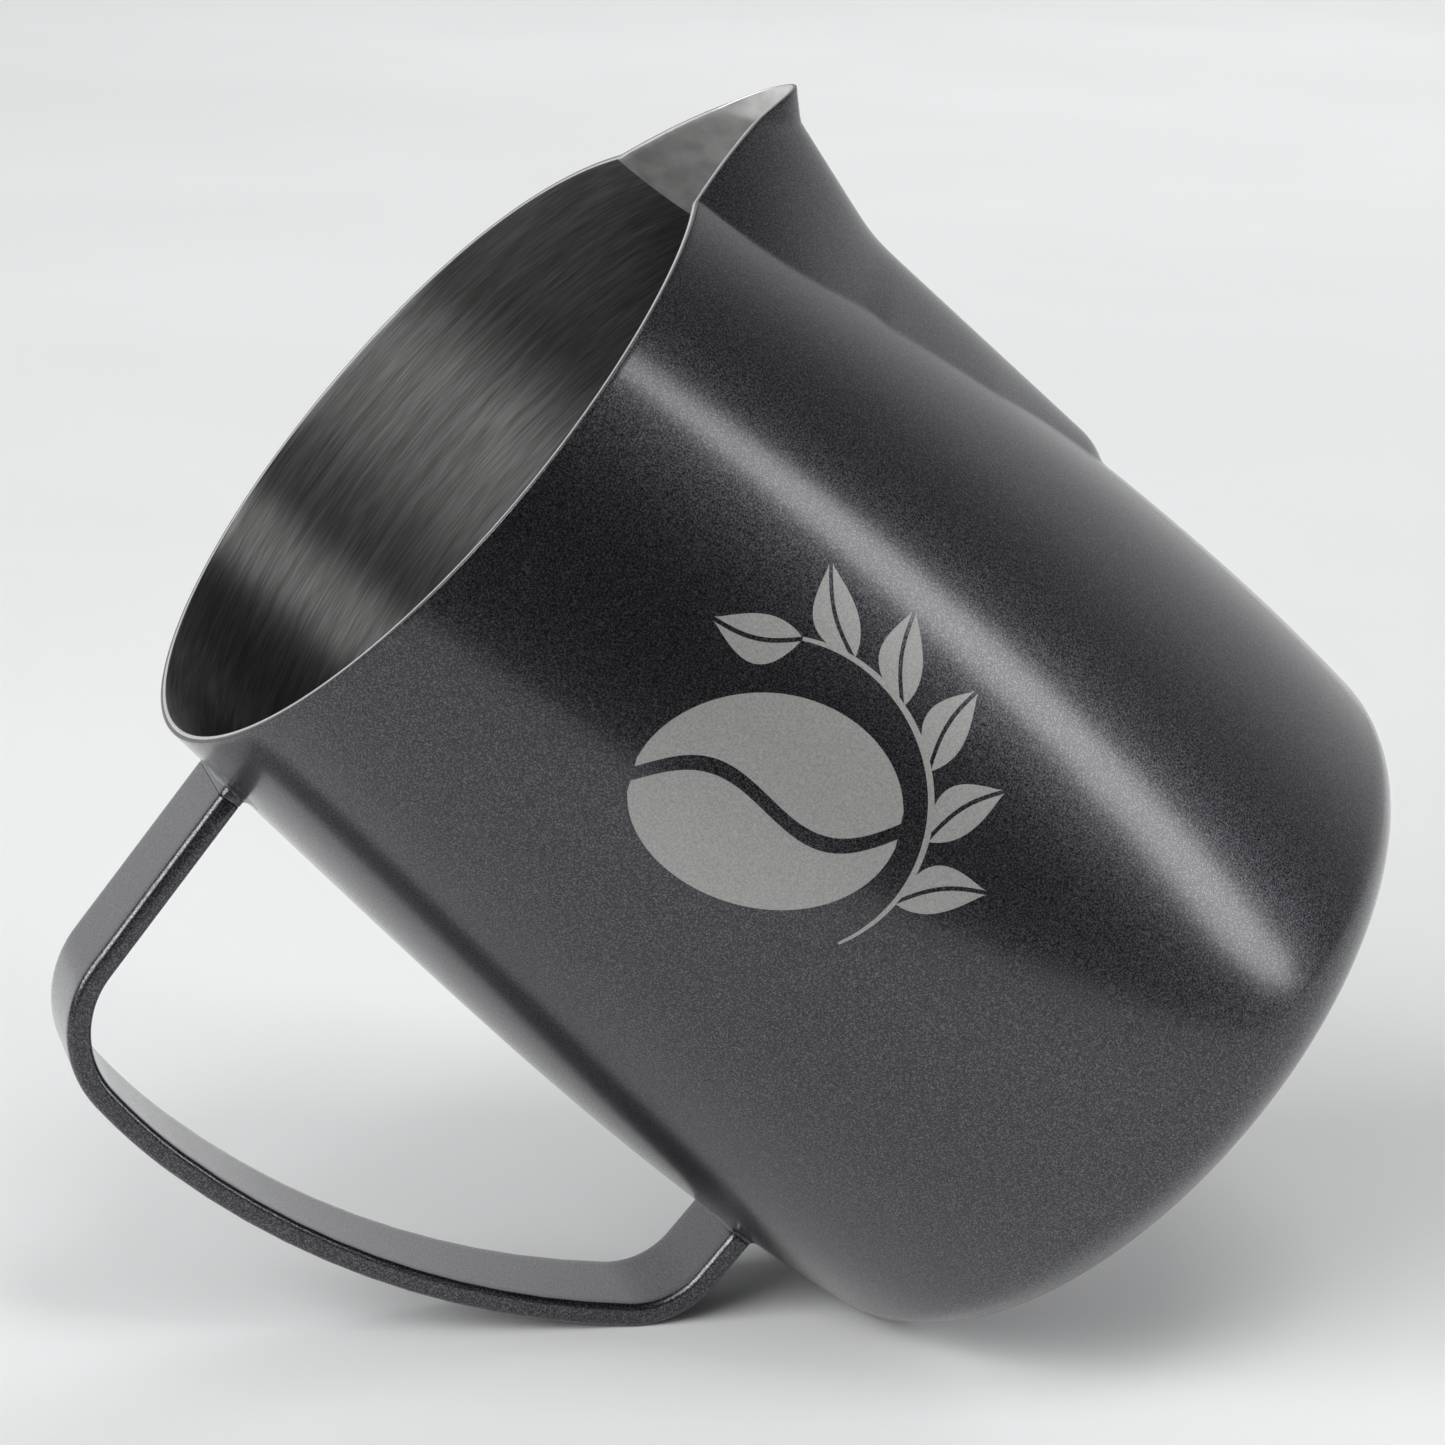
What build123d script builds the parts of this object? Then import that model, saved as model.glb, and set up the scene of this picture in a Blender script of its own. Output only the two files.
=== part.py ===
from build123d import *

import os
from math import cos, exp, log, radians, sin, sqrt, tan

# A one-piece steel milk pitcher with a long pressed spout and a welded flat handle.
# Millimetres. The origin is the centre of the base, +Z is up and +X points to the spout,
# so the handle is on -X. The whole pitcher mirrors in the XZ plane.

# ---------------------------------------------------------------- driving dimensions

wall = 0.8
body_height = 100.0

# Side of the cup: a corner arc at the base, then one bowed curve that is a cubic in height.
base_radius = 41.5
belly_control_radius = 39.3
blank_radius = 36.75
blank_height = 106.0
corner_radius = 8.0
corner_sweep = 85.3

# A shallow pressed ring stiffens the flat base.
ring_radius = 26.0
ring_width = 4.0
ring_depth = 0.6

# Rim, seen from the side: it falls gently towards the spout and faster at the lip.
rim_back = -37.2
rim_reach = 87.1
rim_fall = 1.8
lip_fall = 5.5
lip_fall_power = 8
rim_edge_radius = 0.2

# Keel: the spout's front line. It starts at the toe, runs upright, then leans out.
keel_reach = 43.6
keel_draft = 0.02
keel_datum_height = 72.0
keel_bend_height = 76.9
keel_bend_softness = 1.0
keel_lean = 0.272
toe_height = 46.5
toe_radius = 7.0

# Spout section: a wedge with a rounded nose, blunt low down and sharp at the lip.
blunt_nose_radius = 10.0
toe_nose_radius = 6.5
sharp_nose_radius = 1.5
blunt_nose_height = 60.0
low_wall_slope = 0.66
high_wall_slope = 1.2
steep_wall_height = 74.0
spout_top_height = 99.0
toe_half_width = 8.0
top_half_width = 19.0
spout_back_x = 20.0
spout_section_heights = (40.6, 42.6, 44.5, 46.5, 53, 60, 67, 73, 77, 81, 86, 91, 95, 99)

# The lip curls outwards near its tip.
lip_curl_height = 89.6
lip_curl_slope = 0.55
lip_curl_narrowing = 0.6

# Handle strap: its centre line is a chain of tangent arcs, each given as (radius, sweep).
strap_width = 13.0
strap_thickness = 2.4
strap_edge_radius = 0.7
strap_start_x = -39.2
strap_start_height = 92.1
strap_start_slope = 3.0
strap_top_length = 20.2
strap_arcs = ((10.6, 77.0), (58.0, 10.0), (86.0, 34.0), (9.2, 56.0))

# Stub that carries the strap's upper end, and the weld fillets at both joints.
stub_width = 14.0
stub_thickness = 3.2
stub_edge_radius = 1.0
upper_weld_gap = 0.3
lower_joint_radius = 42.2
lower_weld_leg = 1.1
weld_depth = 3.2

# How far a piece that ends on the cup's wall is drawn inside it before it is trimmed.
trim_depth = 4.0

# ---------------------------------------------------------------- shape formulas

corner_angle = radians(corner_sweep)
side_start_height = corner_radius * (1 - cos(corner_angle))
foot_radius = base_radius - corner_radius * sin(corner_angle)
side_rise = blank_height - side_start_height


def side_control_points(offset):
    """Control points of the bowed side, moved inwards by the offset."""
    radii = (
        base_radius,
        base_radius + side_rise / 3 / tan(corner_angle),
        belly_control_radius,
        blank_radius,
    )
    return [
        (radius - offset, side_start_height + side_rise * step / 3)
        for step, radius in enumerate(radii)
    ]


def rim_height(x):
    along = (x - rim_back) / rim_reach
    return body_height - rim_fall * along - lip_fall * along**lip_fall_power


def keel_x(z, offset):
    lean = keel_bend_softness * log(1 + exp((z - keel_bend_height) / keel_bend_softness))
    reach = keel_reach + keel_draft * (z - keel_datum_height) + keel_lean * lean - offset
    below_toe = max(toe_height - z, 0)
    toe = toe_radius - offset
    return reach - (toe - sqrt(toe**2 - below_toe**2))


def between(z, low, high, low_value, high_value):
    share = min(max((z - low) / (high - low), 0), 1)
    return low_value + share * (high_value - low_value)


def wall_slope(z):
    return between(z, steep_wall_height, spout_top_height, low_wall_slope, high_wall_slope)


def nose_radius(z):
    if z < blunt_nose_height:
        return between(z, toe_height, blunt_nose_height, toe_nose_radius, blunt_nose_radius)
    return between(z, blunt_nose_height, spout_top_height, blunt_nose_radius, sharp_nose_radius)


def lip_curl(y, z):
    start = lip_curl_height + lip_curl_narrowing * y**2
    return lip_curl_slope * max(z - start, 0)


def spout_x(y, z, offset):
    """Front of the spout: a hyperbola whose far branches are the spout's flat walls."""
    slope = wall_slope(z)
    blend = slope * nose_radius(z) - offset * (sqrt(1 + slope**2) - 1) / slope
    wedge = slope * (sqrt(y**2 + blend**2) - blend)
    return keel_x(z, offset) - wedge + lip_curl(y, z)


# ---------------------------------------------------------------- solids


def turned_body(offset):
    """Solid of revolution inside the cup's side and base, moved inwards by the offset."""
    radius = corner_radius - offset
    ring_inner = ring_radius - ring_width / 2
    ring_outer = ring_radius + ring_width / 2
    base = Polyline(
        (0, 0, offset),
        (ring_inner - ring_depth, 0, offset),
        (ring_inner, 0, offset + ring_depth),
        (ring_outer, 0, offset + ring_depth),
        (ring_outer + ring_depth, 0, offset),
        (foot_radius, 0, offset),
    )
    middle, end = [
        (foot_radius + radius * sin(angle), 0, corner_radius - radius * cos(angle))
        for angle in (corner_angle / 2, corner_angle)
    ]
    corner = ThreePointArc((foot_radius, 0, offset), middle, end)
    controls = [(r, 0, z) for r, z in side_control_points(offset)]
    side = Bezier(end, *controls[1:])
    top = Polyline(controls[-1], (0, 0, blank_height), (0, 0, offset))
    outline = make_face([*base.edges(), corner, side, *top.edges()])
    return revolve(outline, Axis.Z, 360)


def spout_section(z, offset):
    """Closed section of the spout at one height. It reaches back into the cup."""
    half_width = between(z, toe_height, spout_top_height, toe_half_width, top_half_width)
    steps = (-1, -0.75, -0.5, -0.3, -0.15, 0, 0.15, 0.3, 0.5, 0.75, 1)
    front = [(spout_x(step * half_width, z, offset), step * half_width, z) for step in steps]
    back = Polyline(
        front[-1],
        (spout_back_x, half_width / 2, z),
        (spout_back_x, -half_width / 2, z),
        front[0],
    )
    return make_face([Spline(*front), *back.edges()])


def spout_block(offset):
    return loft([spout_section(height, offset) for height in spout_section_heights])


def above_rim():
    """Everything above the rim curve, as one wide block."""
    reach = 60.0
    steps = 18
    xs = [-reach + 2 * reach * step / steps for step in range(steps + 1)]
    curve = Spline(*[(x, -reach, rim_height(x)) for x in xs])
    lid = Polyline(
        (reach, -reach, rim_height(reach)),
        (reach, -reach, 1.3 * body_height),
        (-reach, -reach, 1.3 * body_height),
        (-reach, -reach, rim_height(-reach)),
    )
    return extrude(make_face([curve, *lid.edges()]), amount=2 * reach, dir=(0, 1, 0))


def strap_path():
    """Centre line of the strap, drawn in the XZ plane from the stub to inside the cup's wall."""
    heading = radians(180 + strap_start_slope)
    direction = (cos(heading), sin(heading))
    start = (strap_start_x, strap_start_height)
    end = (start[0] + strap_top_length * direction[0], start[1] + strap_top_length * direction[1])
    pieces = [Line(start, end)]
    for radius, sweep in strap_arcs:
        pieces.append(JernArc(pieces[-1] @ 1, pieces[-1] % 1, radius, sweep))
    last = pieces[-1] @ 1
    pieces.append(Line(last, (trim_depth - base_radius, last.Y)))
    return Plane.XZ * Curve(children=pieces)


def rounded_bar(plane, width, thickness, edge_radius, grow=0.0):
    """Rounded rectangle on the plane, grown by the same amount on every side."""
    return plane * RectangleRounded(width + 2 * grow, thickness + 2 * grow, edge_radius + grow)


def weld_collar(plane, width, thickness, edge_radius):
    """Tapered collar around a bar. It starts at the plane and widens towards the wall."""
    small = rounded_bar(plane, width, thickness, edge_radius)
    large = rounded_bar(plane.offset(weld_depth), width, thickness, edge_radius, weld_depth)
    return loft([small, large])


outer_body = turned_body(0)
outer = outer_body + spout_block(0)
inner = turned_body(wall) + spout_block(wall)
raw_body = outer - inner - above_rim()
rim_edges = raw_body.edges().filter_by(lambda edge: edge.bounding_box().min.Z > lip_curl_height)
pitcher_body = fillet(rim_edges, rim_edge_radius)

path = strap_path()
across = (0, 1, 0)
top_joint = Plane(path @ 0, x_dir=across, z_dir=-(path % 0))
lower_joint = Plane((-lower_joint_radius - lower_weld_leg, 0, (path @ 1).Z), across, path % 1)

strap_end = Plane(path @ 0, x_dir=across, z_dir=path % 0)
strap_bar = sweep(rounded_bar(strap_end, strap_width, strap_thickness, strap_edge_radius), path)
handle_strap = strap_bar - outer_body

stub_size = (stub_width, stub_thickness, stub_edge_radius)
stub_bar = extrude(rounded_bar(top_joint, *stub_size), amount=trim_depth)
upper_handle_stub = stub_bar - outer_body

upper_collar = weld_collar(top_joint.offset(upper_weld_gap), *stub_size)
upper_weld = upper_collar - stub_bar - outer_body

lower_collar = weld_collar(lower_joint, strap_width, strap_thickness, strap_edge_radius)
lower_weld = lower_collar - strap_bar - outer_body

pieces = {
    "pitcher_body": pitcher_body,
    "upper_handle_stub": upper_handle_stub,
    "handle_strap": handle_strap,
    "upper_weld": upper_weld,
    "lower_weld": lower_weld,
}

os.makedirs("parts", exist_ok=True)
for name, piece in pieces.items():
    export_step(piece.solid(), f"parts/{name}.step")
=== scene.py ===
import math

import bpy
import numpy as np
from mathutils import Matrix, Vector


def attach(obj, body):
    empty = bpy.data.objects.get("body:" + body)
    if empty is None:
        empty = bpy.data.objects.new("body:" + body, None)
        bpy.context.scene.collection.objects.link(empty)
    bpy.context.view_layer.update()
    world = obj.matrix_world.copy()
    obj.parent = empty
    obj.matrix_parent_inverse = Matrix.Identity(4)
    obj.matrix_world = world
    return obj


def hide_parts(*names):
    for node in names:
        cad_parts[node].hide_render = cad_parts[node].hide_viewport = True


# A milk frothing pitcher in a grey metallic coat, with a brushed steel inside and a flat
# strap handle. It lies tipped back on its handle, on a plain pale floor.
# Metres. The frame is the pitcher's own: +Z is its axis, +X points to the spout.

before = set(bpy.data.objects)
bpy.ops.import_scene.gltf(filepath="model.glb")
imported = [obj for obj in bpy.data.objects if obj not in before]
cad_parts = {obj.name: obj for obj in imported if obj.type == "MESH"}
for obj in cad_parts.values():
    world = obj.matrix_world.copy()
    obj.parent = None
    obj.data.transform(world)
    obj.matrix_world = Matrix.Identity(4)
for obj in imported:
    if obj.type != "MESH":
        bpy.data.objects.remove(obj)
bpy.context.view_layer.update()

mm = 0.001

# ---------------------------------------------------------------- the cup

# The formulas are the CAD's. The lip, the keel's lean and the rim's rounding follow the photo
# more closely.

wall = 0.8 * mm
body_height = 100.0 * mm

base_radius = 41.5 * mm
belly_control_radius = 39.3 * mm
blank_radius = 36.75 * mm
blank_height = 106.0 * mm
corner_radius = 8.0 * mm
corner_angle = math.radians(85.3)

ring_radius = 26.0 * mm
ring_width = 4.0 * mm
ring_depth = 0.6 * mm
base_row_radii = (2.0 * mm, 12.0 * mm, 22.0 * mm)

rim_back = -37.2 * mm
rim_reach = 87.1 * mm
rim_fall = 1.8 * mm
lip_fall = 5.35 * mm
lip_fall_power = 8
rim_edge_radius = 0.12 * mm
paint_share = 0.5

keel_reach = 43.6 * mm
keel_draft = 0.02
keel_datum_height = 72.0 * mm
keel_bend_height = 76.9 * mm
keel_bend_softness = 1.0 * mm
keel_lean = 0.263
toe_height = 46.5 * mm
toe_radius = 7.0 * mm
toe_rows = (39.0 * mm, 50.0 * mm)

blunt_nose_radius = 10.0 * mm
toe_nose_radius = 6.5 * mm
sharp_nose_radius = 1.5 * mm
blunt_nose_height = 60.0 * mm
low_wall_slope = 0.66
high_wall_slope = 1.2
steep_wall_height = 74.0 * mm
spout_top_height = 99.0 * mm

lip_curl_height = 90.1 * mm
lip_curl_slope = 0.6
lip_curl_narrowing = 0.14 / mm
lip_curl_half_width = 6.4 * mm

# The crease where the spout leaves the cup is a small sharp fillet.
crease_softness = 0.06 * mm
crease_column = math.radians(22)
spout_column = math.radians(34)
narrowest_crease = math.radians(8)

# The finishes of the cup's faces, in the order of its materials.
coat_finish, brushed_finish, bare_finish, pressed_finish = range(4)

side_start_height = corner_radius * (1 - math.cos(corner_angle))
foot_radius = base_radius - corner_radius * math.sin(corner_angle)
side_rise = blank_height - side_start_height

# ---------------------------------------------------------------- the handle

# The strap is the CAD's, but it starts nearer to the cup.

strap_width = 13.0 * mm
strap_thickness = 2.4 * mm
strap_edge_radius = 0.7 * mm
strap_start = (-38.6 * mm, 92.13 * mm)
strap_start_slope = math.radians(3.0)
strap_top_length = 20.8 * mm
strap_arcs = ((10.6 * mm, 77.0), (58.0 * mm, 10.0), (86.0 * mm, 34.0), (9.2 * mm, 56.0))
strap_end_round = 0.15 * mm

# The stub is drawn only a little larger than the strap. Both welds are smaller than the CAD's.
stub_width = 13.1 * mm
stub_thickness = 2.5 * mm
stub_edge_radius = 0.75 * mm
stub_end_round = 0.15 * mm
stub_end_depth = 0.8 * mm
upper_weld_reach = 1.6 * mm
upper_weld_climb = 0.45 * mm
lower_weld_reach = 0.7 * mm
lower_weld_climb = 0.5 * mm


def between(z, low, high, low_value, high_value):
    share = np.clip((z - low) / (high - low), 0, 1)
    return low_value + share * (high_value - low_value)


def side_radius(z, offset):
    """Radius of the cup's bowed side, a cubic in height, moved inwards by the offset."""
    up = np.clip((z - side_start_height) / side_rise, 0, 1)
    down = 1 - up
    second = base_radius + side_rise / 3 / math.tan(corner_angle)
    bow = base_radius * down**3 + 3 * second * up * down**2
    return bow + 3 * belly_control_radius * up**2 * down + blank_radius * up**3 - offset


def rim_height(x):
    along = (x - rim_back) / rim_reach
    return body_height - rim_fall * along - lip_fall * along**lip_fall_power


def keel_x(z, offset):
    """Front line of the spout in the middle plane."""
    lean = keel_bend_softness * np.log1p(np.exp((z - keel_bend_height) / keel_bend_softness))
    reach = keel_reach + keel_draft * (z - keel_datum_height) + keel_lean * lean - offset
    toe = toe_radius - offset
    below_toe = np.clip(toe_height - z, 0, toe)
    return reach - (toe - np.sqrt(toe**2 - below_toe**2))


def nose_radius(z):
    low = between(z, toe_height, blunt_nose_height, toe_nose_radius, blunt_nose_radius)
    high = between(z, blunt_nose_height, spout_top_height, blunt_nose_radius, sharp_nose_radius)
    return np.where(z < blunt_nose_height, low, high)


def lip_curl(y, z):
    """How far the lip curls outwards: most in the middle, fading to each side."""
    slope = lip_curl_slope * np.maximum(1 - (y / lip_curl_half_width) ** 4, 0)
    return slope * np.maximum(z - lip_curl_height - lip_curl_narrowing * y**2, 0)


def spout_radius(angle, z, offset):
    """How far the spout's front is from the axis, along a ray at the angle."""
    slope = between(z, steep_wall_height, spout_top_height, low_wall_slope, high_wall_slope)
    blend = slope * nose_radius(z) - offset * (np.sqrt(1 + slope**2) - 1) / slope
    keel = keel_x(z, offset) + slope * blend
    across, along = np.sin(angle), np.cos(angle)
    radius = keel
    for _ in range(6):
        reach = keel + lip_curl(radius * across, z)
        product = reach**2 - (slope * blend) ** 2
        square = (reach * along) ** 2 - (along**2 - (slope * across) ** 2) * product
        radius = product / (reach * along + np.sqrt(np.maximum(square, 0)))
    seen = (along > 0.7) & (z > toe_height - toe_radius + offset)
    return np.where(seen, radius, 0)


def cup_radius(angle, z, offset):
    """Distance from the axis to the cup's wall, with the spout blended into the side."""
    side = side_radius(z, offset)
    spout = spout_radius(angle, z, offset)
    gap = np.abs(side - spout) / crease_softness
    return np.maximum(side, spout) + crease_softness * np.log1p(np.exp(-gap))


def rim_at(angle, offset):
    """Height of the rim at each angle, on the outer or the inner wall."""
    z = np.full_like(angle, body_height)
    for _ in range(25):
        z = 0.4 * z + 0.6 * rim_height(cup_radius(angle, z, offset) * np.cos(angle))
    return z


def crease_angle(z, offset):
    """Angle from the middle plane at which the spout's wall meets the cup's side."""
    low, high = np.zeros_like(z), np.full_like(z, spout_column)
    for _ in range(20):
        middle = (low + high) / 2
        beyond = spout_radius(middle, z, offset) > side_radius(z, offset)
        low, high = np.where(beyond, middle, low), np.where(beyond, high, middle)
    return np.maximum(low, narrowest_crease)


# ---------------------------------------------------------------- meshes


def mesh_object(name, points, faces, materials, face_materials=None, smooth=True):
    mesh = bpy.data.meshes.new(name)
    mesh.from_pydata([tuple(p) for p in points], [], faces)
    for material in materials:
        mesh.materials.append(material)
    if face_materials is not None:
        mesh.polygons.foreach_set("material_index", face_materials)
    mesh.polygons.foreach_set("use_smooth", [smooth] * len(mesh.polygons))
    mesh.update()
    piece = bpy.data.objects.new(name, mesh)
    bpy.context.scene.collection.objects.link(piece)
    return piece


def ring_faces(rows, columns, closed_rows=False):
    """Quads of a grid that closes around its columns, and around its rows too if asked."""
    faces = []
    for row in range(rows if closed_rows else rows - 1):
        here, there = row * columns, (row + 1) % rows * columns
        for column in range(columns):
            after = (column + 1) % columns
            faces.append((here + column, here + after, there + after, there + column))
    return faces


def evenly(start, end, step):
    """Values from start up to, but not including, end, about one step apart."""
    count = max(int(round(abs(end - start) / step)), 1)
    return np.linspace(start, end, count + 1)[:-1]


def cup_columns():
    """Columns of the cup's grid: close together on the lip and along both creases."""
    lip, crease, spout = 9, math.degrees(crease_column), math.degrees(spout_column)
    degrees = [
        evenly(-spout, -crease - 2, 0.8),
        evenly(-crease - 2, 2 - crease, 0.2),
        evenly(2 - crease, -lip, 0.7),
        evenly(-lip, lip, 0.36),
        evenly(lip, crease - 2, 0.7),
        evenly(crease - 2, crease + 2, 0.2),
        evenly(crease + 2, spout, 0.8),
        evenly(spout, 360 - spout, 1.7),
    ]
    return np.radians(np.concatenate(degrees))


def row_angles(columns, z, offset):
    """Angles of one row: the columns shift so that one of them stays on each crease."""
    crease = crease_angle(np.array([z]), offset)[0]
    away = np.abs(columns)
    inner = away / crease_column * crease
    share = (away - crease_column) / (spout_column - crease_column)
    outer = crease + share * (spout_column - crease)
    moved = np.where(away < crease_column, inner, np.where(away < spout_column, outer, away))
    return np.copysign(moved, columns)


def base_rows(offset):
    """(radius, height) of the rows from the centre of the base to the top of its corner."""
    rows = [(radius, offset) for radius in base_row_radii]
    for side in (-1, 1):
        for step in np.linspace(-1, 1, 7):
            rise = 0.5 - 0.5 * side * math.sin(math.pi / 2 * step)
            step_radius = ring_radius + side * ring_width / 2 + step * ring_depth
            rows.append((step_radius, offset + ring_depth * rise))
    rows.append((foot_radius - 1 * mm, offset))
    radius = corner_radius - offset
    for angle in np.linspace(0, corner_angle, 12):
        rows.append((foot_radius + radius * math.sin(angle), corner_radius - radius * math.cos(angle)))
    return rows


def wall_shares(fine, coarse):
    """Shares of the wall's height for its rows: closer together from the toe to the rim."""
    height = body_height - side_start_height
    toe_start, toe_end = [level - side_start_height for level in toe_rows]
    levels = [
        evenly(0, toe_start, 3.5 * mm)[1:],
        evenly(toe_start, toe_end, fine),
        evenly(toe_end, 0.9 * height, coarse),
        evenly(0.9 * height, height, fine),
    ]
    return np.concatenate(levels) / height


def wall_row(columns, share, offset):
    """Angles, rim heights and heights of one row, at a share of the way up to the rim."""
    z = side_start_height + share * (body_height - side_start_height)
    for _ in range(3):
        crease = crease_angle(np.array([z]), offset)
        top = rim_at(crease, offset)[0] - rim_edge_radius
        z = side_start_height + share * (top - side_start_height)
    angles = row_angles(columns, z, offset)
    rim = rim_at(angles, offset)
    top = rim - rim_edge_radius
    return angles, rim, side_start_height + share * (top - side_start_height)


def wall_rows(columns, offset, shares):
    """Points of the cup's wall, row by row from the corner up to just below the rim."""
    rows = []
    for share in shares:
        angles, _, z = wall_row(columns, share, offset)
        rows.append(ring_points(angles, cup_radius(angles, z, offset), z))
    return rows


def ring_points(angles, radius, z):
    return np.stack([radius * np.cos(angles), radius * np.sin(angles), z + 0 * angles], 1)


def rim_rows(columns, offset, inwards):
    """Rows that round one edge of the rim over, from its wall up to its flat."""
    angles, rim, z = wall_row(columns, 1.0, offset)
    radius = cup_radius(angles, z, offset)
    rows = []
    for turn in np.radians((0, 30, 60, 90)):
        back, up = rim_edge_radius * (1 - math.cos(turn)), rim_edge_radius * math.sin(turn)
        rows.append(ring_points(angles, radius - inwards * back, z + up))
    return rows


def on_spout(points, offset):
    """Whether each point belongs to the pressed spout rather than to the bowed side."""
    angles, heights = np.arctan2(points[:, 1], points[:, 0]), points[:, 2]
    return spout_radius(angles, heights, offset) > side_radius(heights, offset)


def build_cup(finishes):
    """The drawn cup as one closed shell. Its finishes: coat, brushed, bare rim, pressed."""
    columns = cup_columns()
    low_angles = row_angles(columns, side_start_height, 0.0)
    outside = [ring_points(low_angles, r, z) for r, z in base_rows(0.0)]
    outside += wall_rows(columns, 0.0, wall_shares(0.5 * mm, 0.75 * mm))
    inside = [ring_points(low_angles, r, z) for r, z in base_rows(wall)]
    inside += wall_rows(columns, wall, wall_shares(0.7 * mm, 0.9 * mm))
    outer_edge, inner_edge = rim_rows(columns, 0.0, 1), rim_rows(columns, wall, -1)[::-1]
    paint_line = outer_edge[-1] + paint_share * (inner_edge[0] - outer_edge[-1])
    rows = outside + outer_edge + [paint_line] + inner_edge + inside[::-1]
    count = len(columns)
    points = np.concatenate(rows + [[(0, 0, 0)], [(0, 0, wall)]])
    faces = ring_faces(len(rows), count)
    bands = [coat_finish] * (len(outside) + len(outer_edge))
    bands += [bare_finish] * 2 + [brushed_finish] * (len(inside) + 2)
    face_finishes = np.repeat(bands, count)
    middles = points[np.array(faces)].mean(1)
    face_finishes[(face_finishes == brushed_finish) & on_spout(middles, wall)] = pressed_finish
    bottom, floor = len(points) - 2, len(points) - 1
    last = (len(rows) - 1) * count
    for column in range(count):
        after = (column + 1) % count
        faces.append((bottom, after, column))
        faces.append((floor, last + column, last + after))
    centre_finishes = [coat_finish, brushed_finish] * count
    return mesh_object("cup_shell", points, faces, finishes, [*face_finishes, *centre_finishes])


def rounded_outline(width, thickness, radius, steps=6, flat_step=1.0 * mm):
    """Points and outward normals around a rounded rectangle, across (Y) and through it."""
    points, normals = [], []
    corners = ((1, 1, 0), (-1, 1, 90), (-1, -1, 180), (1, -1, 270))
    for side, face, start in corners:
        centre = np.array((side * (width / 2 - radius), face * (thickness / 2 - radius)))
        for turn in np.radians(np.linspace(start, start + 90, steps + 1)):
            normal = np.array((math.cos(turn), math.sin(turn)))
            points.append(centre + radius * normal)
            normals.append(normal)
    filled_points, filled_normals = [], []
    for index, (point, normal) in enumerate(zip(points, normals)):
        after = points[(index + 1) % len(points)]
        count = max(int(np.linalg.norm(after - point) / flat_step), 1)
        for share in np.arange(count) / count:
            filled_points.append(point + share * (after - point))
            filled_normals.append(normal)
    return np.array(filled_points), np.array(filled_normals)


def strap_stations():
    """(x, z, heading) along the strap's centre line, from the stub to the cup's wall."""
    heading = math.pi + strap_start_slope
    x, z = strap_start
    stations = [(x, z, heading)]

    def straight(length, count):
        for step in range(1, count + 1):
            share = length * step / count
            stations.append((x + share * math.cos(heading), z + share * math.sin(heading), heading))

    straight(strap_top_length, 8)
    x, z, heading = stations[-1]
    for radius, sweep in strap_arcs:
        centre_x, centre_z = x - radius * math.sin(heading), z + radius * math.cos(heading)
        count = max(int(sweep / 3), 8)
        for turn in np.radians(np.linspace(0, sweep, count + 1)[1:]):
            now = heading + turn
            stations.append((centre_x + radius * math.sin(now), centre_z - radius * math.cos(now), now))
        x, z, heading = stations[-1]
    straight(side_radius(z, wall / 2) * -1 - x, 6)
    return stations


def bar_row(station, outline):
    """The outline set square across a bar whose centre line is at the station."""
    x, z, heading = station
    across, through = outline[:, 0], outline[:, 1]
    return np.stack([x + through * math.sin(heading), -across, z - through * math.cos(heading)], 1)


def capped_bar(name, rows, material):
    """A closed bar from rows of points, with a flat fan at each end."""
    columns = len(rows[0])
    points = np.concatenate(rows + [[rows[0].mean(0)], [rows[-1].mean(0)]])
    faces = ring_faces(len(rows), columns)
    first, last = len(points) - 2, len(points) - 1
    start = (len(rows) - 1) * columns
    for column in range(columns):
        after = (column + 1) % columns
        faces.append((first, after, column))
        faces.append((last, start + column, start + after))
    return mesh_object(name, points, faces, [material])


def rounded_end(station, outline, normals, radius, inwards):
    """Rows that round a bar's end over, from its flat face to its full section."""
    x, z, heading = station
    rows = []
    for turn in np.radians((90, 60, 30, 0)):
        depth = inwards * radius * (1 - math.cos(math.pi / 2 - turn))
        moved = (x + depth * math.cos(heading), z + depth * math.sin(heading), heading)
        rows.append(bar_row(moved, outline - normals * radius * (1 - math.cos(turn))))
    return rows


def build_strap(coat):
    outline, normals = rounded_outline(strap_width, strap_thickness, strap_edge_radius)
    stations = strap_stations()
    rows = rounded_end(stations[0], outline, normals, strap_end_round, 1)
    rows += [bar_row(station, outline) for station in stations[1:]]
    return capped_bar("handle_strap_bar", rows, coat)


def wall_x(y, z):
    """Where the back of the cup's outer wall is, at a place across it and a height."""
    return -np.sqrt(side_radius(z, 0.0) ** 2 - y**2)


def build_stub(coat):
    outline, normals = rounded_outline(stub_width, stub_thickness, stub_edge_radius)
    x, z = strap_start
    heading = math.pi + strap_start_slope
    rows = rounded_end((x, z, heading), outline, normals, stub_end_round, -1)
    inside_wall = side_radius(z, wall / 2) + x
    for depth in (stub_end_depth, -inside_wall):
        station = (x - depth * math.cos(heading), z - depth * math.sin(heading), heading)
        rows.append(bar_row(station, outline))
    return capped_bar("handle_stub", rows, coat)


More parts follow.
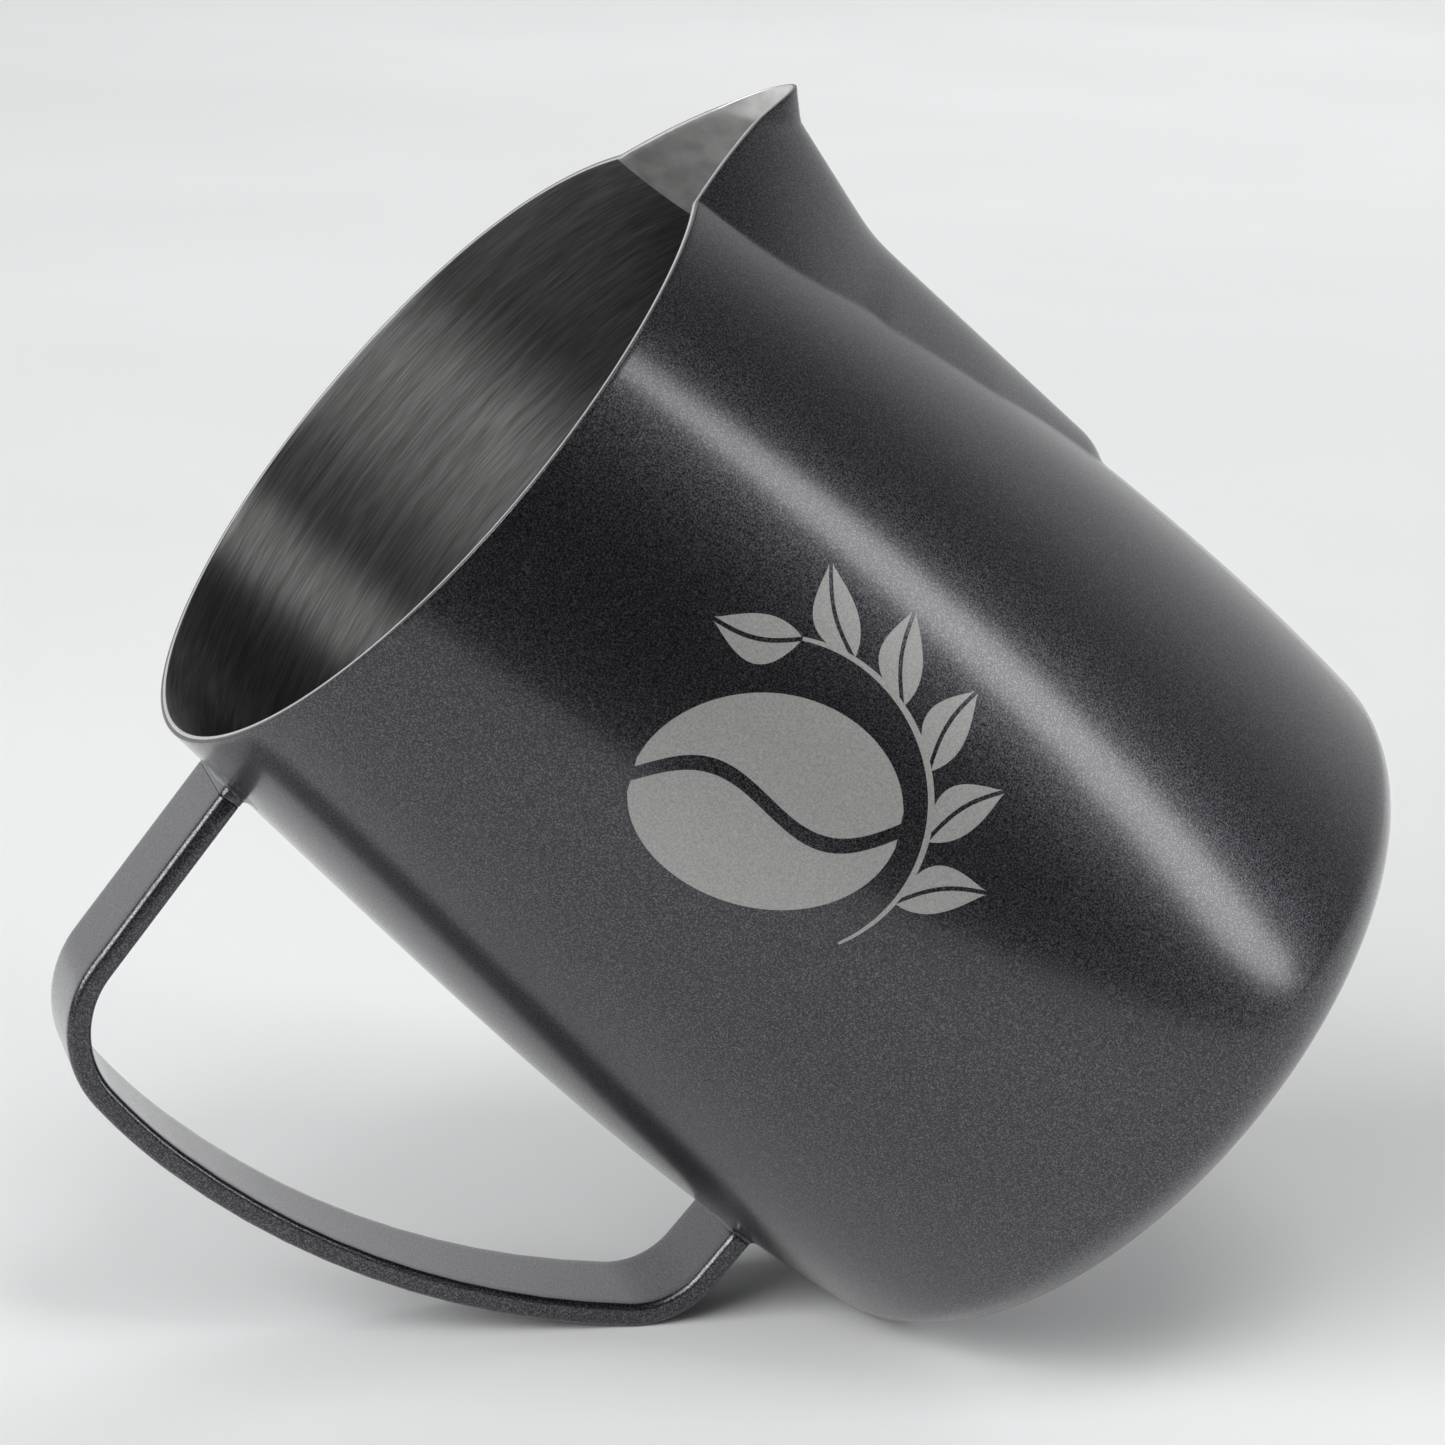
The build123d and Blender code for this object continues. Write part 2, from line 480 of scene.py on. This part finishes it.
def build_weld(name, size, axis_point, slope, blend, coat):
    """A concave blend all round a bar. It reaches along the cup's wall and climbs the bar."""
    outline, normals = rounded_outline(*size)
    reach, climb = blend
    turns = np.radians(np.linspace(0, 90, 14))
    profile = [(reach * (1 - math.cos(turn)), climb * (1 - math.sin(turn))) for turn in turns]
    profile += [(reach, -wall / 2), (0.0, -wall / 2)]
    axis_x, axis_z = axis_point
    rows = []
    for out, back in profile:
        moved = outline + out * normals
        y = -moved[:, 0]
        z = axis_z + moved[:, 1]
        x = wall_x(y, z) - back
        rows.append(np.stack([x, y, z + slope * (x - axis_x)], 1))
    faces = ring_faces(len(rows), len(outline), closed_rows=True)
    return mesh_object(name, np.concatenate(rows), faces, [coat])


# ---------------------------------------------------------------- the etched mark

mark_angle = math.radians(96.5)
mark_height = 63.0 * mm
bean_half_length = 13.0 * mm
bean_half_width = 10.4 * mm
bean_groove = 0.75 * mm
bean_swing = 2.6 * mm
bean_tilt = math.radians(28)
mark_lift = 0.03 * mm
mark_depth = 0.15 * mm
leaf_stem_radius = 15.6 * mm
leaf_length = 9.0 * mm
leaf_half_width = 2.3 * mm
leaf_vein = 0.22 * mm
leaf_positions = (28, 8, -16, -40, -64, -88)
leaf_lean = math.radians(42)
tip_leaf_lean = math.radians(88)


def on_side(across, up, lift):
    """A place on the cup's side, measured round it and up it from the mark's middle."""
    height = mark_height + up
    radius = side_radius(height, 0.0)
    angle = across / radius - mark_angle
    radius = radius + lift
    return np.stack([radius * np.cos(angle), radius * np.sin(angle), height], -1)


def turned(across, up, angle):
    """The same place after the drawing is turned by the angle."""
    cos, sin = math.cos(angle), math.sin(angle)
    return across * cos - up * sin, across * sin + up * cos


def plate(across, up):
    """A thin closed plate over a grid of places on the side. It stands just proud of the coat."""
    rows, columns = across.shape
    top = on_side(across, up, mark_lift).reshape(-1, 3)
    bottom = on_side(across, up, -mark_depth).reshape(-1, 3)
    count = rows * columns
    faces = []
    for row in range(rows - 1):
        for column in range(columns - 1):
            a = row * columns + column
            b, c, d = a + 1, a + columns + 1, a + columns
            faces += [(a, b, c, d), (count + d, count + c, count + b, count + a)]
    edge = list(range(columns))
    edge += [row * columns + columns - 1 for row in range(1, rows)]
    edge += [(rows - 1) * columns + column for column in range(columns - 2, -1, -1)]
    edge += [row * columns for row in range(rows - 2, 0, -1)]
    for here, after in zip(edge, edge[1:] + edge[:1]):
        faces.append((after, here, count + here, count + after))
    return np.concatenate([top, bottom]), faces


def bean_halves():
    """Two halves of a coffee bean, parted by a curved groove."""
    share_up = np.linspace(-0.985, 0.985, 61)
    up = share_up * bean_half_length
    groove = bean_swing * np.sin(math.pi * share_up)
    rim = bean_half_width * np.sqrt(1 - share_up**2)
    shares = np.linspace(0, 1, 17)[:, None]
    for side in (-1, 1):
        inner = groove + side * bean_groove
        outer = np.where(side * inner < rim, side * rim, inner + side * 0.02 * mm)
        across = inner + shares * (outer - inner)
        yield turned(across, up + 0 * across, bean_tilt)


def leaf_halves(root, heading):
    """Two halves of a pointed leaf, with a thin vein left between them."""
    along = np.linspace(0.02, 0.98, 25)
    width = leaf_half_width * np.sin(math.pi * along**0.85)
    shares = np.linspace(0, 1, 5)[:, None]
    for side in (-1, 1):
        out = side * (leaf_vein + shares * np.maximum(width - leaf_vein, 0.02 * mm))
        bend = 0.9 * mm * np.sin(math.pi * along)
        across, up = turned(along * leaf_length + 0 * out, out + bend, heading)
        yield across + root[0], up + root[1]


def stem():
    """The stem that the leaves grow from, an arc beside the bean."""
    turns = np.radians(np.linspace(28, -112, 60))
    taper = 0.32 * mm * np.sin(math.pi * np.linspace(0.1, 0.95, 60)) ** 0.5
    radius = leaf_stem_radius + np.array([-1, 1])[:, None] * taper
    return radius * np.cos(turns), radius * np.sin(turns)


def build_mark(etched):
    """The side's etched mark: a coffee bean with a sprig of leaves."""
    grids = list(bean_halves()) + [stem()]
    for position in leaf_positions:
        place = math.radians(position)
        root = (leaf_stem_radius * math.cos(place), leaf_stem_radius * math.sin(place))
        lean = tip_leaf_lean if position == leaf_positions[0] else leaf_lean
        grids += list(leaf_halves(root, place + lean))
    points, faces, count = [], [], 0
    for across, up in grids:
        plate_points, plate_faces = plate(across, up)
        points.append(plate_points)
        faces += [tuple(index + count for index in face) for face in plate_faces]
        count += len(plate_points)
    return mesh_object("etched_mark", np.concatenate(points), faces, [etched], smooth=False)


# ---------------------------------------------------------------- materials


class Nodes:
    """Short ways to add and join nodes in one material or world."""

    def __init__(self, tree):
        self.tree = tree
        self.tree.nodes.clear()

    def add(self, kind, **settings):
        node = self.tree.nodes.new(kind)
        for name, value in settings.items():
            setattr(node, name, value)
        return node

    def join(self, source, target):
        self.tree.links.new(source, target)

    def math(self, operation, first, second):
        node = self.add("ShaderNodeMath", operation=operation)
        for socket, value in zip(node.inputs, (first, second)):
            if isinstance(value, (int, float)):
                socket.default_value = value
            else:
                self.join(value, socket)
        return node.outputs[0]

    def noise(self, vector, scale, detail=2.0):
        node = self.add("ShaderNodeTexNoise")
        node.inputs["Scale"].default_value = scale
        node.inputs["Detail"].default_value = detail
        node.inputs["Roughness"].default_value = 0.5
        self.join(vector, node.inputs["Vector"])
        return node.outputs["Fac"]

    def ramp(self, factor, *stops):
        """A colour ramp through grey or coloured stops, each (place, colour)."""
        node = self.add("ShaderNodeValToRGB")
        while len(node.color_ramp.elements) < len(stops):
            node.color_ramp.elements.new(0.5)
        for element, (place, colour) in zip(node.color_ramp.elements, stops):
            element.position = place
            element.color = (*colour, 1.0)
        self.join(factor, node.inputs["Fac"])
        return node.outputs["Color"]

    def bump(self, height, distance):
        node = self.add("ShaderNodeBump")
        node.inputs["Strength"].default_value = 1.0
        node.inputs["Distance"].default_value = distance
        self.join(height, node.inputs["Height"])
        return node.outputs["Normal"]


def new_material(name):
    material = bpy.data.materials.new(name)
    material.use_nodes = True
    nodes = Nodes(material.node_tree)
    shader = nodes.add("ShaderNodeBsdfPrincipled")
    output = nodes.add("ShaderNodeOutputMaterial")
    nodes.join(shader.outputs["BSDF"], output.inputs["Surface"])
    place = nodes.add("ShaderNodeTexCoord").outputs["Object"]
    return material, nodes, shader, place


def flake_coat(name, shade=1.0, grain=1.0):
    """Dark grey metallic paint: fine flakes under a satin clear layer."""
    material, nodes, shader, place = new_material(name)
    flakes = nodes.noise(place, 6200, detail=1.5)
    drift = nodes.noise(place, 60, detail=2)
    dark = tuple(shade * value for value in (0.010, 0.010, 0.012))
    mid = tuple(shade * value for value in (0.042, 0.042, 0.047))
    light = tuple(shade * value for value in (0.115, 0.116, 0.133))
    speckle = nodes.ramp(flakes, (0.34, dark), (0.5, mid), (0.66, light))
    nodes.join(speckle, shader.inputs["Base Color"])
    shader.inputs["Metallic"].default_value = 1.0
    shader.inputs["Coat Weight"].default_value = 1.0
    shader.inputs["Coat Roughness"].default_value = 0.17
    shader.inputs["Coat IOR"].default_value = 1.5
    rough = nodes.add("ShaderNodeMapRange")
    rough.inputs["To Min"].default_value = 0.38
    rough.inputs["To Max"].default_value = 0.44
    nodes.join(drift, rough.inputs["Value"])
    nodes.join(rough.outputs["Result"], shader.inputs["Roughness"])
    facets = nodes.noise(place, 4300, detail=1.0)
    nodes.join(nodes.bump(facets, 0.012 * mm * grain), shader.inputs["Normal"])
    peel = nodes.noise(place, 900, detail=2.0)
    nodes.join(nodes.bump(peel, 0.004 * mm * grain), shader.inputs["Coat Normal"])
    return material


def brushed_steel(name):
    """Bare steel brushed round the cup, so its streaks and its gleam follow the turning."""
    material, nodes, shader, place = new_material(name)
    apart = nodes.add("ShaderNodeSeparateXYZ")
    nodes.join(place, apart.inputs["Vector"])
    x, y, z = apart.outputs
    squares = nodes.math("ADD", nodes.math("MULTIPLY", x, x), nodes.math("MULTIPLY", y, y))
    radius = nodes.math("MAXIMUM", nodes.math("SQRT", squares, 0.0), 1 * mm)
    up = nodes.math("ADD", z, radius)

    def streaks(around, across, detail):
        """Noise stretched round the cup: the numbers are waves round it and across it."""
        vector = nodes.add("ShaderNodeCombineXYZ")
        nodes.join(nodes.math("MULTIPLY", nodes.math("DIVIDE", x, radius), around), vector.inputs["X"])
        nodes.join(nodes.math("MULTIPLY", nodes.math("DIVIDE", y, radius), around), vector.inputs["Y"])
        nodes.join(nodes.math("MULTIPLY", up, across), vector.inputs["Z"])
        return nodes.noise(vector.outputs["Vector"], 1.0, detail)

    fine, broad = streaks(8.0, 7500, 3.0), streaks(2.6, 1500, 3.0)
    both = nodes.math("ADD", nodes.math("MULTIPLY", fine, 0.65), nodes.math("MULTIPLY", broad, 0.35))
    dark, mid, light = (0.165, 0.163, 0.161), (0.245, 0.242, 0.239), (0.355, 0.351, 0.347)
    nodes.join(nodes.ramp(both, (0.36, dark), (0.5, mid), (0.64, light)), shader.inputs["Base Color"])
    shader.inputs["Metallic"].default_value = 1.0
    shader.inputs["Roughness"].default_value = 0.41
    shader.inputs["Anisotropic"].default_value = 1.0
    shader.inputs["Anisotropic Rotation"].default_value = 0.25
    tangent = nodes.add("ShaderNodeTangent", direction_type="RADIAL", axis="Z")
    nodes.join(tangent.outputs["Tangent"], shader.inputs["Tangent"])
    nodes.join(nodes.bump(both, 0.02 * mm), shader.inputs["Normal"])
    return material


def pressed_steel(name):
    """Bare steel inside the pressed spout: matt, pale and faintly clouded."""
    material, nodes, shader, place = new_material(name)
    cloud = nodes.noise(place, 420, detail=5)
    tone = nodes.ramp(cloud, (0.35, (0.76, 0.75, 0.74)), (0.65, (1.0, 0.99, 0.98)))
    nodes.join(tone, shader.inputs["Base Color"])
    shader.inputs["Metallic"].default_value = 0.8
    shader.inputs["Roughness"].default_value = 0.42
    grain = nodes.noise(place, 3800, detail=2)
    nodes.join(nodes.bump(grain, 0.008 * mm), shader.inputs["Normal"])
    return material


def bare_edge(name):
    """Bare steel of the trimmed rim, finely scuffed."""
    material, nodes, shader, place = new_material(name)
    scuff = nodes.noise(place, 2500, detail=3)
    tone = nodes.ramp(scuff, (0.3, (0.80, 0.79, 0.78)), (0.7, (1.0, 0.99, 0.98)))
    nodes.join(tone, shader.inputs["Base Color"])
    shader.inputs["Metallic"].default_value = 1.0
    shader.inputs["Roughness"].default_value = 0.3
    nodes.join(nodes.bump(scuff, 0.006 * mm), shader.inputs["Normal"])
    return material


def etched_steel(name):
    """Steel laid bare by the laser: pale, even and matt, with a faint grain."""
    material, nodes, shader, place = new_material(name)
    grain = nodes.noise(place, 5200, detail=2)
    tone = nodes.ramp(grain, (0.3, (0.30, 0.295, 0.29)), (0.7, (0.43, 0.425, 0.42)))
    nodes.join(tone, shader.inputs["Base Color"])
    shader.inputs["Metallic"].default_value = 0.5
    shader.inputs["Roughness"].default_value = 0.5
    nodes.join(nodes.bump(grain, 0.01 * mm), shader.inputs["Normal"])
    return material


def pale_floor(name):
    """Plain pale sweep. Its back is clear, so that it hides nothing from below."""
    material = bpy.data.materials.new(name)
    material.use_nodes = True
    nodes = Nodes(material.node_tree)
    place = nodes.add("ShaderNodeTexCoord").outputs["Object"]
    mottle = nodes.noise(place, 6, detail=2)
    front = nodes.add("ShaderNodeBsdfDiffuse")
    tone = nodes.ramp(mottle, (0.3, (0.84, 0.845, 0.85)), (0.7, (0.88, 0.885, 0.89)))
    nodes.join(tone, front.inputs["Color"])
    clear = nodes.add("ShaderNodeBsdfTransparent")
    mix = nodes.add("ShaderNodeMixShader")
    nodes.join(nodes.add("ShaderNodeNewGeometry").outputs["Backfacing"], mix.inputs["Fac"])
    nodes.join(front.outputs[0], mix.inputs[1])
    nodes.join(clear.outputs[0], mix.inputs[2])
    output = nodes.add("ShaderNodeOutputMaterial")
    nodes.join(mix.outputs[0], output.inputs["Surface"])
    return material


# ---------------------------------------------------------------- the floor it lies on


def node_points(node):
    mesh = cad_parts[node].data
    points = np.zeros(len(mesh.vertices) * 3, np.float32)
    mesh.vertices.foreach_get("co", points)
    return points.reshape(-1, 3).astype(float)


def resting_tilt():
    """How far the pitcher tips back until its base and its handle touch one plane."""
    strap, body = node_points("handle_strap"), node_points("pitcher_body")
    low, high = math.radians(20), math.radians(80)
    for _ in range(30):
        tilt = (low + high) / 2
        up = np.array((math.sin(tilt), 0, math.cos(tilt)))
        if (strap @ up).min() < (body @ up).min():
            high = tilt
        else:
            low = tilt
    return tilt, float((body @ up).min())


tilt, floor_drop = resting_tilt()
floor_up = Vector((math.sin(tilt), 0, math.cos(tilt)))

camera_azimuth = math.radians(1.93)
camera_elevation = math.radians(21.48)
camera_roll = math.radians(-50.68)
camera_distance = 470.37 * mm
camera_slide = (-5.896 * mm, 1.296 * mm)
camera_lens = 116.13

floor_left = -0.28
floor_right_end = 2.5
floor_front = -0.168
floor_back = 4.0
floor_steps = 24

forward = Vector(
    (
        -math.sin(camera_azimuth) * math.cos(camera_elevation),
        math.cos(camera_azimuth) * math.cos(camera_elevation),
        -math.sin(camera_elevation),
    )
)
level_right = forward.cross(Vector((0, 0, 1))).normalized()
level_up = level_right.cross(forward)
camera_right = level_right * math.cos(camera_roll) + level_up * math.sin(camera_roll)
camera_up = camera_right.cross(forward)

floor_forward = (forward - floor_up * forward.dot(floor_up)).normalized()
floor_right = floor_forward.cross(floor_up)


def on_floor(right, ahead, up):
    """A place in the floor's own terms, from the point of the floor under the cup's middle."""
    cup_middle = Vector((0, 0, body_height / 2))
    foot = cup_middle + floor_up * (floor_drop - cup_middle.dot(floor_up))
    return foot + floor_right * right + floor_forward * ahead + floor_up * up


def build_floor():
    points, faces = [], []
    for row in range(floor_steps + 1):
        for column in range(floor_steps + 1):
            across = floor_left + (floor_right_end - floor_left) * column / floor_steps
            ahead = floor_front + (floor_back - floor_front) * row / floor_steps
            points.append(on_floor(across, ahead, 0))
    for row in range(floor_steps):
        for column in range(floor_steps):
            a = row * (floor_steps + 1) + column
            faces.append((a, a + 1, a + floor_steps + 2, a + floor_steps + 1))
    floor = mesh_object("pale_floor", points, faces, [pale_floor("pale_floor")])


def build_camera():
    camera = bpy.data.objects.new("camera", bpy.data.cameras.new("camera"))
    camera.data.sensor_width = 36
    camera.data.lens = camera_lens
    camera.data.clip_start = 10 * mm
    camera.data.clip_end = 20
    place = Vector((0, 0, body_height / 2)) - forward * camera_distance
    place += camera_right * camera_slide[0] + camera_up * camera_slide[1]
    axes = Matrix((camera_right, camera_up, -forward)).transposed()
    camera.matrix_world = Matrix.Translation(place) @ axes.to_4x4()
    bpy.context.scene.collection.objects.link(camera)
    bpy.context.scene.camera = camera


def softbox(name, place, size, power, facing=None):
    """A large rectangular lamp. It faces the cup, or it lights only the floor below it."""
    lamp = bpy.data.lights.new(name, "AREA")
    lamp.shape = "RECTANGLE"
    lamp.size, lamp.size_y = size
    lamp.energy = power
    box = bpy.data.objects.new(name, lamp)
    back = facing or (place - Vector((0, 0, body_height / 2))).normalized()
    side = (floor_up if abs(back.dot(floor_up)) < 0.9 else -floor_forward).cross(back).normalized()
    axes = Matrix((side, back.cross(side), back)).transposed()
    box.matrix_world = Matrix.Translation(place) @ axes.to_4x4()
    box.visible_camera = False
    box.visible_glossy = facing is None
    bpy.context.scene.collection.objects.link(box)


def build_lights():
    softbox("key_softbox", on_floor(0.85, -0.38, 0.36), (0.17, 0.65), 2.35)
    softbox("overhead_softbox", on_floor(0.25, -0.45, 1.3), (0.45, 0.5), 3.8)
    softbox("front_softbox", on_floor(-0.3, -1.2, 1.5), (0.8, 0.6), 2.5)
    softbox("fill_softbox", on_floor(-1.9, -1.8, 1.5), (2.6, 2.0), 92.0)
    softbox("back_softbox", on_floor(0.55, 1.25, 1.0), (1.6, 1.0), 8.5, facing=floor_up)


def build_world():
    """Studio surroundings: pale to the sides and behind, dim behind the camera."""
    world = bpy.data.worlds.new("studio")
    world.use_nodes = True
    bpy.context.scene.world = world
    nodes = Nodes(world.node_tree)
    direction = nodes.add("ShaderNodeTexCoord").outputs["Generated"]
    ahead = nodes.add("ShaderNodeVectorMath", operation="DOT_PRODUCT")
    ahead.inputs[1].default_value = floor_forward
    nodes.join(direction, ahead.inputs[0])
    share = nodes.add("ShaderNodeMapRange")
    share.inputs["From Min"].default_value = -0.1
    share.inputs["From Max"].default_value = 0.5
    nodes.join(ahead.outputs["Value"], share.inputs["Value"])
    above = nodes.add("ShaderNodeVectorMath", operation="DOT_PRODUCT")
    above.inputs[1].default_value = floor_up
    nodes.join(direction, above.inputs[0])
    fade = nodes.add("ShaderNodeMapRange")
    fade.inputs["From Min"].default_value = 0.5
    fade.inputs["From Max"].default_value = 0.68
    fade.inputs["To Min"].default_value = 1.0
    fade.inputs["To Max"].default_value = 0.3
    nodes.join(above.outputs["Value"], fade.inputs["Value"])
    lit = nodes.math("MULTIPLY", share.outputs["Result"], fade.outputs["Result"])
    glow = nodes.ramp(lit, (0.0, (0.06, 0.06, 0.06)), (1.0, (0.62, 0.625, 0.63)))
    room = nodes.add("ShaderNodeBackground")
    nodes.join(glow, room.inputs["Color"])
    backdrop = nodes.add("ShaderNodeBackground")
    backdrop.inputs["Color"].default_value = (0.78, 0.785, 0.79, 1)
    mix = nodes.add("ShaderNodeMixShader")
    nodes.join(nodes.add("ShaderNodeLightPath").outputs["Is Camera Ray"], mix.inputs["Fac"])
    nodes.join(room.outputs[0], mix.inputs[1])
    nodes.join(backdrop.outputs[0], mix.inputs[2])
    output = nodes.add("ShaderNodeOutputWorld")
    nodes.join(mix.outputs[0], output.inputs["Surface"])


# ---------------------------------------------------------------- assembly


def place_piece(piece, slot, *nodes):
    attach(piece, "root")
    if nodes:
        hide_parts(*nodes)


bpy.context.scene.view_settings.view_transform = "Standard"
build_camera()
build_floor()
build_lights()
build_world()

cup_coat = flake_coat("cup_coat")
# The handle's coat is the cup's coat with half the grain, drawn 1.25 times lighter. The lighter tone is
# painted light: it stands in for the light that the strap's faces catch.
handle_coat_painted_light = flake_coat("handle_coat_painted_light", 1.25, 0.5)
weld_coat = flake_coat("weld_coat")

brushed_inside = brushed_steel("brushed_inside")
bare_rim = bare_edge("bare_rim")
pressed_spout = pressed_steel("pressed_spout")
cup = build_cup([cup_coat, brushed_inside, bare_rim, pressed_spout])
place_piece(cup, "coated_cup", "pitcher_body")

strap = build_strap(handle_coat_painted_light)
place_piece(strap, "coated_handle", "handle_strap")

stub = build_stub(handle_coat_painted_light)
place_piece(stub, "coated_handle", "upper_handle_stub")

stub_size = (stub_width, stub_thickness, stub_edge_radius)
strap_size = (strap_width, strap_thickness, strap_edge_radius)
stub_tangent = math.tan(strap_start_slope)
upper_blend = (upper_weld_reach, upper_weld_climb)
upper = build_weld(
    "upper_weld_fillet", stub_size, strap_start, stub_tangent, upper_blend, weld_coat
)
place_piece(upper, "coated_weld", "upper_weld")

lower_end = strap_stations()[-1][:2]
lower_blend = (lower_weld_reach, lower_weld_climb)
lower = build_weld("lower_weld_fillet", strap_size, lower_end, 0.0, lower_blend, weld_coat)
place_piece(lower, "coated_weld", "lower_weld")

mark = build_mark(etched_steel("etched_mark"))
place_piece(mark, "coated_cup")
